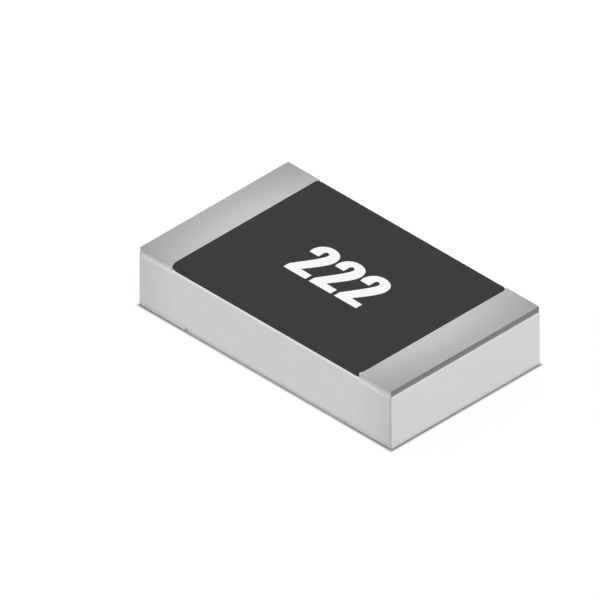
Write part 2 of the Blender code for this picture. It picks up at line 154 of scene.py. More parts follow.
class TerminalSettings(bpy.types.PropertyGroup):
    """The tin-plated terminals."""

    tin: colour("Tin", "Colour of the plating on the end faces", (0.660, 0.660, 0.660))
    # Painted sheen on the top, darker towards the outer end and the corners
    top_inner: share("Top beside the coat", "Tone of the top next to the coat, as a share", 0.89)
    top_outer: share("Top at the end", "Tone of the top at its outer end, as a share", 0.69)
    top_corners: share("Top corners", "How much darker the top gets towards its corners", 0.19)
    # Painted shade on the step under the top at the ends
    step_shade: share("Pad edge", "Tone of the step under the top at the ends, as a share", 0.292)
    # Painted light and shade on the plating's long edges
    side_edge: share("Side edge", "Tone of the pad's long edges, as a share", 0.75)
    corner_line: share("Corner line", "Tone of the plating's thin side edges, as a share", 0.78)
    # Painted shadow along the plating's lowest line above the board
    contact_shadow: share("Low line", "How much darker the lowest line above the board is", 0.38)
    # Painted highlight on the ridge under the step
    ridge: share("Ridge", "Tone of the ridge under the step, as a share", 1.10, most=2.0)
    edge_radius: length("Edge radius", "Radius of the plated outer edges", 6 * UM)
    inner_radius: length("Inner edge radius", "Radius of the edges that face the coat", 2 * UM)
    unevenness: length("Unevenness", "Depth of the dips in the plated faces", 0.5 * UM)
    mesh_step: length("Mesh step", "Spacing of the mesh", 12 * UM)


class CodeSettings(bpy.types.PropertyGroup):
    """The printed value code."""

    ink: colour("Ink", "Colour of the ink", (0.930, 0.930, 0.928))
    digit_height: length("Digit height", "Height of a digit", 0.333 * MM)
    digit_pitch: length("Digit pitch", "Distance from one digit to the next", 0.210 * MM)
    digit_count: IntProperty(
        name="Digits", description="How many digits the code has", default=3, min=1
    )
    shift: length("Shift", "How far left of the middle and above it the code is", 6 * UM)
    ink_rounding: length("Ink rounding", "Radius of the ink's upper edges", 0.4 * UM)


class StageSettings(bpy.types.PropertyGroup):
    """The floor, the light and the camera."""

    floor: colour("Floor", "Colour of the floor", (0.850, 0.850, 0.850))
    floor_lift: share("Floor lift", "Light added to the floor that the camera sees", 0.17)
    # Painted shadow on the floor along the chip's edges
    foot_shade: share("Foot shade", "How much darker the floor is under the chip's edges", 0.48)
    sky: share("Sky light", "Strength of the even light from all round", 0.60, most=4.0)
    overhead: share("Overhead", "Light from straight above, on the same scale", 0.40, most=4.0)
    overhead_angle: angle("Overhead angle", "How wide the overhead light looks", math.radians(5))
    azimuth: angle("Azimuth", "Where the camera stands around the chip", math.radians(45))
    elevation: angle(
        "Elevation",
        "How high the camera stands, as in an isometric drawing",
        math.atan(1 / math.sqrt(2)),
    )
    view_width: length("View width", "Width of what the camera sees", 3.525 * MM)
    aim_left: length("Aim left", "How far left of the top's middle the camera aims", 0.2327 * MM)
    aim_down: length("Aim down", "How far below the top's middle the camera aims", 0.1387 * MM)


class ResistorSettings(bpy.types.PropertyGroup):
    """All settings of the chip resistor."""

    ceramic: PointerProperty(type=CeramicSettings)
    coat: PointerProperty(type=CoatSettings)
    terminals: PointerProperty(type=TerminalSettings)
    code: PointerProperty(type=CodeSettings)
    stage: PointerProperty(type=StageSettings)


# Measures of the frame


def box_mm(node):
    """A node's lowest and highest corner, in millimetres."""
    low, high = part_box(node)
    return low / MM, high / MM


def node_outline(node):
    """A copy of a CAD node's mesh."""
    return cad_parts[node].data.copy()


def node_points(node):
    """Every corner point of a CAD node."""
    return [vertex.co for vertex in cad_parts[node].data.vertices]


def reach(node, axis, chosen):
    """How far a node reaches along an axis, among the points that are chosen."""
    return max(point[axis] for point in node_points(node) if chosen(point))


class TerminalShape:
    """Sizes of one terminal's plating, measured on its CAD node and told for the +X side."""

    def __init__(self, side_name, unit=1.0):
        node = "tin_plating_" + side_name
        sign = SIDES[side_name]
        same = SAME_PLACE / unit
        points = [Vector((sign * at.x, at.y, at.z)) / unit for at in node_points(node)]
        self.node = node
        self.sign = sign
        self.end = max(point.x for point in points)
        self.side = max(point.y for point in points)
        self.top = max(point.z for point in points)
        self.bottom = min(point.z for point in points)
        on_top = [point for point in points if point.z > self.top - same]
        self.pad_start = min(point.x for point in on_top)
        inner_half = (self.pad_start + self.end) / 2
        self.top_start = max(point.x for point in on_top if point.x < inner_half)
        self.bottom_start = min(point.x for point in points)
        self.ledge = max(point.z for point in points if point.x > self.end - same)
        above = self.ledge + (self.top - self.ledge) / 2
        self.pad_end = max(point.x for point in points if point.z > above)
        self.step = self.end - self.pad_end


# Shaders


class Wire:
    """A shader output. Sums on it, written in Python, add Math nodes."""

    def __init__(self, sheet, socket):
        self.sheet = sheet
        self.socket = socket

    def __add__(self, other):
        return self.sheet.math("ADD", self, other)

    def __sub__(self, other):
        return self.sheet.math("SUBTRACT", self, other)

    def __rsub__(self, other):
        return self.sheet.math("SUBTRACT", other, self)

    def __mul__(self, other):
        return self.sheet.math("MULTIPLY", self, other)

    def __truediv__(self, other):
        return self.sheet.math("DIVIDE", self, other)

    def __pow__(self, other):
        return self.sheet.math("POWER", self, other)

    def __abs__(self):
        return self.sheet.math("ABSOLUTE", self)

    __radd__ = __add__
    __rmul__ = __mul__


class Sheet:
    """The node tree of a material or a world, written node by node."""

    def __init__(self, owner):
        owner.use_nodes = True
        self.owner = owner
        self.tree = owner.node_tree
        self.tree.nodes.clear()

    def node(self, kind, settings, sockets, output=0):
        """Add a node: first its settings, then its sockets' values or wires. Gives one output."""
        made = self.tree.nodes.new(kind)
        for name, value in settings.items():
            setattr(made, name, value)
        for name, value in sockets.items():
            if isinstance(value, Wire):
                self.tree.links.new(value.socket, made.inputs[name])
            else:
                made.inputs[name].default_value = value
        return Wire(self, made.outputs[output]) if made.outputs else None

    def math(self, operation, *values):
        """A sum on plain numbers."""
        return self.node("ShaderNodeMath", {"operation": operation}, dict(enumerate(values)))

    def clamped(self, value):
        """A number kept between 0 and 1."""
        return self.node("ShaderNodeClamp", {}, {"Value": value})

    def rise(self, value, low, high):
        """0 below low and 1 above high, with a soft rise between them."""
        settings = {"interpolation_type": "SMOOTHSTEP"}
        sockets = {"Value": value, "From Min": low, "From Max": high}
        return self.node("ShaderNodeMapRange", settings, sockets)

    def blend(self, first, second, part):
        """One number that turns into another as part goes from 0 to 1."""
        return first * (1.0 - part) + second * part

    def vector_math(self, operation, sockets):
        """A sum on places or colours."""
        return self.node("ShaderNodeVectorMath", {"operation": operation}, sockets)

    def tinted(self, tint, tone):
        """A colour made lighter or darker by a number."""
        return self.vector_math("SCALE", {"Vector": tuple(tint), "Scale": tone})

    def place(self):
        """The place on the object, in millimetres."""
        metres = self.node("ShaderNodeTexCoord", {}, {}, output="Object")
        return self.vector_math("SCALE", {"Vector": metres, "Scale": 1 / MM})

    def axes(self, place):
        """The three numbers of a place."""
        return [
            self.node("ShaderNodeSeparateXYZ", {}, {0: place}, output=axis) for axis in range(3)
        ]

    def speckle(self, place, size, detail=2.0):
        """Noise from 0 to 1 with features of about that size in millimetres."""
        sockets = {"Vector": place, "Scale": 1.0 / size, "Detail": detail, "Roughness": 0.55}
        return self.node("ShaderNodeTexNoise", {}, sockets)

    def swing(self, noise_value, amount):
        """Noise from 0 to 1 made a change both ways, amount from end to end."""
        return (noise_value - 0.5) * amount

    def bump(self, height, distance):
        """A normal from a height of 0 to 1 that stands for distance metres."""
        sockets = {"Height": height, "Distance": distance, "Strength": 1.0}
        return self.node("ShaderNodeBump", {}, sockets)

    def surface(self, tint, tone, rough, normal, others):
        """End the tree in a Principled shader. Gives the material."""
        sockets = {"Base Color": self.tinted(tint, tone), "Roughness": rough, "Normal": normal}
        shader = self.node("ShaderNodeBsdfPrincipled", {}, {**sockets, **others})
        self.node("ShaderNodeOutputMaterial", {}, {"Surface": shader})
        return self.owner


def white_rays(sheet):
    """1 where the camera, a gloss or a glass sees the stage, and 0 where it lights something."""
    camera, gloss, glass = (
        sheet.node("ShaderNodeLightPath", {}, {}, output=name)
        for name in ("Is Camera Ray", "Is Glossy Ray", "Is Transmission Ray")
    )
    return sheet.clamped(camera + gloss + glass)


def alumina_material(settings):
    """Fired alumina: matte, fine-grained, with a painted highlight band under the scribed edge,
    painted shade towards the terminals and painted light low on the sides.
    """
    sheet = Sheet(bpy.data.materials.new("fired_alumina"))
    place = sheet.place()
    x, y, z = sheet.axes(place)
    low, high = box_mm("ceramic_substrate")
    shaded_length = 0.305
    terminal_start = TerminalShape("right", MM).top_start
    ends = sheet.clamped((abs(x) - (high.x - shaded_length)) / shaded_length)
    # Painted highlight in a band under the scribed edge, which is also a little glossier
    scribed = sheet.rise(z, high.z - 0.022, high.z - 0.006)
    # The painted highlight band is wider and stronger below the terminals, against their shade
    under_terminals = sheet.rise(abs(x), terminal_start - 0.010, terminal_start + 0.005)
    under_terminals = under_terminals * sheet.rise(z, high.z - 0.036, high.z - 0.022)
    band = scribed + under_terminals * 1.6
    on_side = sheet.rise(abs(y), high.y - 0.010, high.y - 0.006)
    on_chamfer = 1.0 - sheet.rise(z, low.z + 0.006, low.z + 0.010)
    grain = sheet.speckle(place, 0.006)
    mottle = sheet.speckle(place, 0.09)
    upright = sheet.vector_math("MULTIPLY", {0: place, 1: (1.0, 1.0, 0.45)})
    fracture = sheet.speckle(upright, 0.030, detail=4.0)
    tone = 1.0 + sheet.swing(mottle, 0.03) + sheet.swing(grain, 0.04)
    # Painted shade on the long sides towards the terminals
    tone = tone * (1.0 - on_side * ends * settings.end_shade)
    # Painted highlight band under the scribed edge
    tone = tone * (1.0 + on_side * band * settings.scribe_highlight)
    # Painted light on the lowest band of the sides, where the gap below shades them
    tone = tone * (1.0 + on_chamfer * settings.chamfer_painted_light)
    rough = 0.62 + sheet.swing(grain, 0.2) - scribed * 0.08
    normal = sheet.bump(grain * 0.35 + fracture * 0.65, 0.35 * UM)
    return sheet.surface(settings.body, tone, rough, normal, {"Specular IOR Level": 0.4})


def resin_material(settings):
    """Cured black resin, printed through a mesh: satin, finely pitted, lighter at its edges, with
    painted light on its walls.
    """
    sheet = Sheet(bpy.data.materials.new("cured_black_resin"))
    place = sheet.place()
    x, y, z = sheet.axes(place)
    _, high = box_mm("protective_coat")
    edge_width = 0.05
    near_end = sheet.rise(abs(x), high.x - edge_width, high.x)
    near_side = sheet.rise(abs(y), high.y - edge_width, high.y)
    edge = sheet.math("MAXIMUM", near_end, near_side)
    # Painted light on the coat's shaded walls
    wall = 1.0 - sheet.rise(z, high.z - 0.007, high.z - 0.0015)
    # The wall that faces a terminal's edge, where little light reaches, gets more painted light
    in_slot = wall * sheet.rise(abs(x), high.x - 0.022, high.x - 0.006)
    pits = sheet.speckle(place, 0.007, detail=3.0)
    flow = sheet.speckle(place, 0.11)
    # The walls and the slots get painted light
    tone = 1.0 + edge * 0.08 + wall * 0.36 + in_slot * 1.6
    tone = tone + sheet.swing(flow, 0.08) + sheet.swing(pits, 0.10)
    rough = 0.52 + sheet.swing(pits, 0.16) + sheet.swing(flow, 0.08)
    normal = sheet.bump(pits * 0.6 + flow * 0.4, 0.35 * UM)
    return sheet.surface(settings.resin, tone, rough, normal, {"Specular IOR Level": 0.1})


class TinPlace(TerminalShape):
    """Where a point of the plating lies, and the sizes around it, in millimetres."""

    def __init__(self, sheet):
        super().__init__("right", MM)
        self.place = sheet.place()
        x, y, self.z = sheet.axes(self.place)
        self.outwards = abs(x)
        self.sideways = abs(y)
        # 1 on the right-hand terminal and -1 on the left-hand one
        self.to_right = sheet.math("SIGN", x)
        self.above_ridge = sheet.rise(self.z, self.ledge + 0.003, self.ledge + 0.007)
        self.on_flank = sheet.rise(self.sideways, self.side - 0.003, self.side - 0.0005)


def tin_top_tone(sheet, settings, at):
    """Tone of the terminal's top, a painted sheen that is darker towards its outer end and its
    corners.
    """
    beyond = 0.03
    along = sheet.rise(at.outwards, at.top_start - beyond, at.end + beyond)
    corners = 1.0 - (at.sideways / at.side) ** 2.0 * settings.top_corners
    return (settings.top_inner + along * (settings.top_outer - settings.top_inner)) * corners


def tin_step_shade(sheet, settings, at):
    """Painted shade on the step between the top and the ridge, a little lighter at its foot."""
    above_foot = sheet.rise(at.z, at.ledge + 0.010, at.ledge + 0.030)
    return settings.step_shade * (1.0 + 0.25 * (1.0 - above_foot))


def tin_flank_tone(sheet, settings, at):
    """Tone of the terminal's long edges: the pad's, the foot's and the plating's thin one, all
    painted light and shade.
    """
    # Painted shade on the pad's edges: dark under the top, lighter in two steps below it, and
    # darker towards the end, more on the left
    depth = at.top - at.z
    under_top, step_up = 0.76, 0.24
    pad_tone = under_top + step_up * (
        sheet.rise(depth, 0.004, 0.011) + sheet.rise(depth, 0.016, 0.038)
    )
    end_shade_depth = 0.14 - at.to_right * 0.06
    flank_end_shade = 1.0 - sheet.rise(at.outwards, at.top_start - 0.01, at.end) * end_shade_depth
    pad_tone = settings.side_edge * pad_tone * flank_end_shade
    # Painted light makes the foot's edges as light as the ceramic beside them, where they would
    # reflect the shaded floor
    on_foot = 1.0 - sheet.rise(at.z, 0.026, 0.034)
    foot_inner, foot_outer = 1.04, 0.91
    along = sheet.rise(at.outwards, at.end - 0.25, at.end - 0.02)
    foot_tone = sheet.blend(foot_inner, foot_outer, along)
    tone = sheet.blend(pad_tone, foot_tone, on_foot)
    # Painted light and shade on the plating's thin edge at the end: on the right its inner half is
    # lighter, on the left its outer half
    on_thin = sheet.rise(at.outwards, at.end - 0.018, at.end - 0.014) * (1.0 - at.above_ridge)
    inner_half = 1.0 - sheet.rise(at.outwards, at.end - 0.012, at.end - 0.004)
    outer_tone = 0.995 - at.to_right * 0.165
    lighter = 0.08 + at.to_right * 0.24
    thin_tone = settings.corner_line * (outer_tone + inner_half * lighter)
    return sheet.blend(tone, thin_tone, on_thin)


def tin_material(settings):
    """Matte tin plating: fine crystals, with painted sheen, shade and highlights: darker at the
    outer ends, dark on its stepped edges.
    """
    sheet = Sheet(bpy.data.materials.new("matte_tin"))
    at = TinPlace(sheet)
    step_shade_tone = tin_step_shade(sheet, settings, at)
    # The top turns into the step's painted shade over its rounded edge, and the step ends at the
    # ridge
    on_step = sheet.rise(at.outwards, at.pad_end - 0.003, at.pad_end - 0.0005) * at.above_ridge
    tone = sheet.blend(tin_top_tone(sheet, settings, at), step_shade_tone, on_step)
    # Painted highlight on the ridge under the step
    ridge = sheet.rise(at.z, at.ledge - 0.011, at.ledge - 0.001)
    face_tone = 1.0 + ridge * (settings.ridge - 1.0)
    on_end = sheet.rise(at.outwards, at.pad_end + 0.0005, at.pad_end + 0.002)
    tone = sheet.blend(tone, sheet.blend(face_tone, step_shade_tone, at.above_ridge), on_end)
    below_top = 1.0 - sheet.rise(at.z, at.top - 0.006, at.top - 0.001)
    tone = sheet.blend(tone, tin_flank_tone(sheet, settings, at), at.on_flank * below_top)
    # Painted shadow along the lowest line above the board
    contact_shadow = sheet.rise(at.z, 0.0005, 0.002) * (1.0 - sheet.rise(at.z, 0.006, 0.011))
    tone = tone * (1.0 - contact_shadow * settings.contact_shadow * (1.0 - at.on_flank * 0.2))
    crystals = sheet.speckle(at.place, 0.005, detail=3.0)
    cloud = sheet.speckle(at.place, 0.08)
    tone = tone * (1.0 + sheet.swing(crystals, 0.10) + sheet.swing(cloud, 0.03))
    rough = 0.42 + sheet.swing(crystals, 0.16) + sheet.swing(cloud, 0.06)
    normal = sheet.bump(crystals * 0.7 + cloud * 0.3, 0.25 * UM)
    return sheet.surface(settings.tin, tone, rough, normal, {"Metallic": 1.0})


def ink_material(settings):
    """White marking ink: opaque, matte, with fine grain."""
    sheet = Sheet(bpy.data.materials.new("white_marking_ink"))
    place = sheet.place()
    grain = sheet.speckle(place, 0.006, detail=3.0)
    film = sheet.speckle(place, 0.05)
    tone = 1.0 + sheet.swing(grain, 0.03) + sheet.swing(film, 0.02)
    rough = 0.6 + sheet.swing(grain, 0.2)
    normal = sheet.bump(grain, 0.15 * UM)
    return sheet.surface(settings.ink, tone, rough, normal, {"Specular IOR Level": 0.3})


def layer_material(name, tint, metallic, mean_rough, grain_size, depth):
    """A hidden fired, sputtered or plated layer: one tint with grain in tone, gloss and height."""
    sheet = Sheet(bpy.data.materials.new(name))
    place = sheet.place()
    grain = sheet.speckle(place, grain_size, detail=3.0)
    cloud = sheet.speckle(place, grain_size * 12)
    tone = 1.0 + sheet.swing(grain, 0.16) + sheet.swing(cloud, 0.08)
    rough = mean_rough + sheet.swing(grain, 0.2)
    return sheet.surface(tint, tone, rough, sheet.bump(grain, depth), {"Metallic": metallic})


# Mesh building


def quarter_turn(segments):
    """Angles of a quarter turn, from 0 on."""
    return [part / segments * math.pi / 2 for part in range(segments + 1)]


def dip(point, depth, size):
    """How far a surface dips at a point, from 0 to depth, over lengths of about size."""
    return depth * (0.5 + 0.5 * max(-1.0, min(1.0, noise.noise(Vector(point) / size))))


def corner_frame(corners, number):
    """A corner of a closed outline, and the directions from it to the one before and after."""
    here = Vector(corners[number][:2])
    before = Vector(corners[number - 1][:2]) - here
    after = Vector(corners[(number + 1) % len(corners)][:2]) - here
    return here, before.normalized(), after.normalized()


def drawn_in(corners, by):
    """An anticlockwise outline of corners (across, up, radius), moved inwards all round."""
    moved = []
    for number, (_, _, radius) in enumerate(corners):
        here, before, after = corner_frame(corners, number)
        inwards_before = Vector((before.y, -before.x))
        inwards_after = Vector((-after.y, after.x))
        mitre = (inwards_before + inwards_after) / (1 + inwards_before.dot(inwards_after))
        is_convex = after.x * before.y - after.y * before.x > 0
        left_over = max(radius - by, SHARPEST) if is_convex else radius + by
        moved.append((*(here + mitre * by), left_over if radius > 0 else 0.0))
    return moved


def corner_arc(corners, number, arc_segments):
    """The points that round one corner, or the corner itself where its radius is 0."""
    here, before, after = corner_frame(corners, number)
    radius = corners[number][2]
    if radius <= 0:
        return [here]
    turn = math.pi - before.angle(after)
    cut = radius * math.tan(turn / 2)
    first = here + before * cut
    last = here + after * cut
    centre = here + (before + after).normalized() * (radius / math.cos(turn / 2))
    arc = []
    for part in range(arc_segments + 1):
        mix = first.lerp(last, part / arc_segments) - centre
        arc.append(centre + mix.normalized() * radius)
    return arc


def run_pieces(corners, step):
    """Into how many pieces the run after each corner is divided."""
    pieces = []
    for number, (across, up, _) in enumerate(corners):
        after = corners[(number + 1) % len(corners)]
        pieces.append(max(1, round(math.dist((across, up), after[:2]) / step)))
    return pieces


def traced(corners, pieces, arc_segments=EDGE_SEGMENTS):
    """A closed outline with rounded corners and divided runs: points and their outward normals."""
    arcs = [corner_arc(corners, number, arc_segments) for number in range(len(corners))]
    points = []
    for number, arc in enumerate(arcs):
        finish = arcs[(number + 1) % len(arcs)][0]
        count = pieces[number]
        points += arc
        points += [arc[-1].lerp(finish, part / count) for part in range(1, count)]
    normals = []
    for number, point in enumerate(points):
        before = point - points[number - 1]
        after = points[(number + 1) % len(points)] - point
        run = before.normalized() + after.normalized()
        normals.append(Vector((run.y, -run.x)).normalized())
    return list(zip(points, normals, strict=True))


def stations(half, radius, step, cap_ring=0.0):
    """Places across a piece from -half to half, each with how far its section draws in there.

    The last radius at both ends is a quarter circle, with one more ring in the flat end if wanted.
    """
    arc = [(half, radius + cap_ring)] if cap_ring > 0 else []
    for turn in quarter_turn(EDGE_SEGMENTS)[:-1]:
        arc.append((half - radius * (1 - math.cos(turn)), radius * (1 - math.sin(turn))))
    straight = half - radius
    pieces = max(1, round(2 * straight / step))
    middle = [(-straight + 2 * straight * part / pieces, 0.0) for part in range(pieces + 1)]
    return [(-place, inset) for place, inset in arc] + middle + arc[::-1]


def solid_from_rings(name, rings):
    """A closed solid through rings of points, each with as many points as the next."""
    mesh = bpy.data.meshes.new(name)
    with edited(mesh) as shape:
        rows = [[shape.verts.new(point) for point in ring] for ring in rings]
        count = len(rows[0])
        for lower, upper in zip(rows, rows[1:], strict=False):
            for number in range(count):
                after = (number + 1) % count
                shape.faces.new((lower[number], lower[after], upper[after], upper[number]))
        shape.faces.new(rows[0][::-1])
        shape.faces.new(rows[-1])
        bmesh.ops.recalc_face_normals(shape, faces=shape.faces)
    return new_object(name, mesh)


@contextmanager
def edited(mesh):
    """A mesh opened for editing, and written back afterwards."""
    shape = bmesh.new()
    shape.from_mesh(mesh)
    yield shape
    shape.to_mesh(mesh)
    shape.free()


def new_object(name, data):
    """An object in the scene from a mesh, a curve, a light or a camera."""
    made = bpy.data.objects.new(name, data)
    bpy.context.scene.collection.objects.link(made)
    return made


def evaluated_mesh(piece):
    """The piece's mesh with its modifiers applied, or its curve made a mesh."""
    graph = bpy.context.evaluated_depsgraph_get()
    return bpy.data.meshes.new_from_object(piece.evaluated_get(graph))


def resized(mesh, factor):
    """Make a mesh larger or smaller in place."""
    mesh.transform(Matrix.Scale(factor, 4))
    return mesh


def welded(mesh):
    """Join the points that lie in one place on an enlarged mesh."""
    with edited(mesh) as shape:
        bmesh.ops.remove_doubles(shape, verts=shape.verts, dist=SAME_PLACE * LARGER)
    return mesh


def trimmed_to(piece, outline):
    """Keep what lies inside a CAD node's outline, so that a detailed piece has the node's hollows.

    The piece is left enlarged, because rounding would spoil its finest faces at their own size.
    """
    limit = new_object("limit", welded(resized(outline, LARGER)))
    resized(piece.data, LARGER)
    modifier = piece.modifiers.new("hollows", "BOOLEAN")
    modifier.operation = "INTERSECT"
    modifier.solver = "MANIFOLD"
    modifier.object = limit
    piece.data = evaluated_mesh(piece)
    piece.modifiers.clear()
    bpy.data.objects.remove(limit, do_unlink=True)
    divide_wide_faces(piece.data)
    return piece


def divide_wide_faces(mesh):
    """Divide the flat faces with many corners into well-shaped triangles."""
    with edited(mesh) as shape:
        for face in [face for face in shape.faces if len(face.verts) > MOST_CORNERS]:
            corners = list(face.verts)
            facing = max(range(3), key=lambda axis: abs(face.normal[axis]))
            across, up = (facing + 1) % 3, (facing + 2) % 3
            if face.normal[facing] < 0:
                across, up = up, across
            flat = [Vector((corner.co[across], corner.co[up])) for corner in corners]
            found = delaunay_2d_cdt(flat, [], [range(len(flat))], 1, 1e-7)
            triangles, sources = found[2:4]
            for triangle in triangles:
                shape.faces.new([corners[sources[number][0]] for number in triangle])
            shape.faces.remove(face)


def crease(piece):
    """Shade a closed piece smoothly, apart from where faces meet at more than the smooth angle."""
    with edited(piece.data) as shape:
        if not shape.faces or not all(edge.is_manifold for edge in shape.edges):
            raise RuntimeError(piece.name + " did not come out as a closed solid")
        shape.normal_update()
        for face in shape.faces:
            face.smooth = True
        for edge in shape.edges:
            edge.smooth = edge.calc_face_angle(0.0) < SMOOTH_ANGLE


def finish_piece(piece, node, material):
    """Shade an enlarged piece, bring it to size, paint it and let it stand for its CAD node."""
    crease(piece)
    normals = piece.modifiers.new("flat_faces", "WEIGHTED_NORMAL")
    normals.keep_sharp = True
    piece.data = resized(evaluated_mesh(piece), 1 / LARGER)
    piece.modifiers.clear()
    piece.data.materials.clear()
    piece.data.materials.append(material)
    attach(piece, "root")
    if node:
        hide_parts(node)


# Pieces


def ceramic_piece(settings):
    """The alumina block, with eased scribed edges and slightly uneven snapped sides."""
    node = "ceramic_substrate"
    low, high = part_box(node)
    upper_flat = reach(node, 1, lambda point: point.z > high.z - SAME_PLACE)
    lower_flat = reach(node, 1, lambda point: point.z < low.z + SAME_PLACE)
    side_top = reach(node, 2, lambda point: point.y > high.y - SAME_PLACE)
    side_bottom = low.z + (high.y - lower_flat)
    inset = SKIN_MARGIN
    ease = 1.5 * UM
    broad, fine = 45 * UM, 16 * UM
    beyond = 5 * UM
    right = [
        (lower_flat - inset, low.z + inset, ease),
        (high.y - inset, side_bottom + inset, ease),
        (high.y - inset, side_top - inset, ease),
        (upper_flat - inset, high.z - inset, ease),
    ]
    left = [(-across, up, radius) for across, up, radius in reversed(right)]
    corners = [*right, *left]
    outline = traced(corners, run_pieces(corners, settings.mesh_step), arc_segments=2)
    rings = []
    for along, _ in stations(high.x + beyond, 0.0, settings.mesh_step):
        ring = []
        for point, normal in outline:
            place = (along, point.x, point.y)
            depth = dip(place, settings.unevenness, broad) * 0.6
            depth += dip(place, settings.unevenness, fine) * 0.4
            moved = point - normal * depth
            ring.append((along, moved.x, moved.y))
        rings.append(ring)
    return trimmed_to(solid_from_rings("ceramic_body", rings), node_outline(node))


def coat_rows(half_width, radius, step):
    """Rows across the coat's plan, close together over its rounded corners."""
    straight = half_width - radius
    arc = [straight + radius * math.sin(turn) for turn in quarter_turn(COAT_SEGMENTS)]
    pieces = round(2 * straight / step)
    middle = [-straight + 2 * straight * part / pieces for part in range(1, pieces)]
    return [-place for place in reversed(arc)] + middle + arc


def coat_edge(row, half_length, half_width, radius):
    """Where the coat's plan ends along X at one row, and the outward normal there."""
    past = abs(row) - (half_width - radius)
    if past <= 0:
        return half_length, Vector((1.0, 0.0))
    across = math.sqrt(max(0.0, radius**2 - past**2))
    normal = Vector((across / radius, math.copysign(past / radius, row)))
    return half_length - radius + across, normal


def coat_outline():
    """The coat's outline with its underside brought down onto the ceramic.

    The CAD keeps a gap there for the bond, through which light would show.
    """
    _, ceramic_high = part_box("ceramic_substrate")
    outline = node_outline("protective_coat")
    for vertex in outline.vertices:
        if 0 < vertex.co.z - ceramic_high.z < BOND_REACH:
            vertex.co.z = ceramic_high.z - SKIN_MARGIN
    return outline


def coat_top(shape, settings, half_length, half_width, top):
    """The coat's top face: the points round it, in order, and the outward normal at each."""
    sag_depth, sag_size = 0.15 * UM, 60 * UM
    radius = settings.corner - settings.shoulder
    columns = round(2 * half_length / settings.mesh_step)
    grid = []
    normals = {}
    for row in coat_rows(half_width, radius, settings.mesh_step):
        edge, normal = coat_edge(row, half_length, half_width, radius)
        line = []
        for column in range(columns + 1):
            along = -edge + 2 * edge * column / columns
            sag = dip((along, row, 0.0), sag_depth, sag_size)
            line.append(shape.verts.new((along, row, top - sag)))
        normals[line[0]] = Vector((-normal.x, normal.y))
        normals[line[-1]] = normal
        grid.append(line)
    for line, way in ((grid[0], -1.0), (grid[-1], 1.0)):
        for vertex in line:
            normals[vertex] = Vector((0.0, way))
    for lower, upper in zip(grid, grid[1:], strict=False):
        for column in range(columns):
            shape.faces.new((lower[column], lower[column + 1], upper[column + 1], upper[column]))
    loop = grid[0][:-1] + [line[-1] for line in grid[:-1]] + grid[-1][:0:-1]
    loop += [line[0] for line in reversed(grid[1:])]
    return loop, normals


def coat_wall(shape, settings, loop, normals, wall):
    """The coat's shoulder, a quarter circle, and the wall of that height: its lowest points."""
    wander_size, wall_rows = 50 * UM, 5
    shoulder = settings.shoulder
    drops = [
        (shoulder * math.sin(turn), shoulder * (1 - math.cos(turn)))
        for turn in quarter_turn(COAT_SEGMENTS)[1:]
    ]
    drops += [(shoulder, shoulder + wall * row / wall_rows) for row in range(1, wall_rows + 1)]
    upper = loop
    for out, down in drops:
        lower = []
        for vertex in loop:
            wander = dip((vertex.co.x, vertex.co.y, 0.0), settings.edge_wander, wander_size)
            wander *= out / shoulder
            place = vertex.co + (normals[vertex] * (out - wander)).to_3d()
            place.z = vertex.co.z - down
            lower.append(shape.verts.new(place))
        for number in range(len(loop)):
            after = (number + 1) % len(loop)
            shape.faces.new((upper[number], lower[number], lower[after], upper[after]))
        upper = lower
    return upper


def coat_piece(settings):
    """The black coat: a print with a rounded shoulder and a faintly wandering edge."""
    low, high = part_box("protective_coat")
    half_length = high.x - SKIN_MARGIN - settings.shoulder
    half_width = high.y - SKIN_MARGIN - settings.shoulder
    top = high.z - settings.ink_room
    # The wall goes on below the outline, which cuts it off
    wall = top - settings.shoulder - (low.z - BOND_REACH)
    mesh = bpy.data.meshes.new("black_coat")
    with edited(mesh) as shape:
        loop, normals = coat_top(shape, settings, half_length, half_width, top)
        shape.faces.new(coat_wall(shape, settings, loop, normals, wall))
        bmesh.ops.recalc_face_normals(shape, faces=shape.faces)
    return trimmed_to(new_object("black_coat", mesh), coat_outline())


def rim_drawn_up(shape):
    """A terminal's outline with the rim of its foot and end brought against the ceramic.

    The CAD keeps a gap there for the bond, which would show as a dark seam.
    """
    low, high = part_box("ceramic_substrate")
    rim_height, raised_by = 4 * UM, 2 * UM
    outline = node_outline(shape.node)
    for vertex in outline.vertices:
        x, y, z = vertex.co
        if abs(y) < shape.side - SAME_PLACE:
            continue
        if 0 < z - low.z < rim_height:
            vertex.co.z = z + raised_by
        if 0 < abs(x) - high.x < BOND_REACH:
            vertex.co.x = math.copysign(high.x + SKIN_MARGIN, x)
    return outline


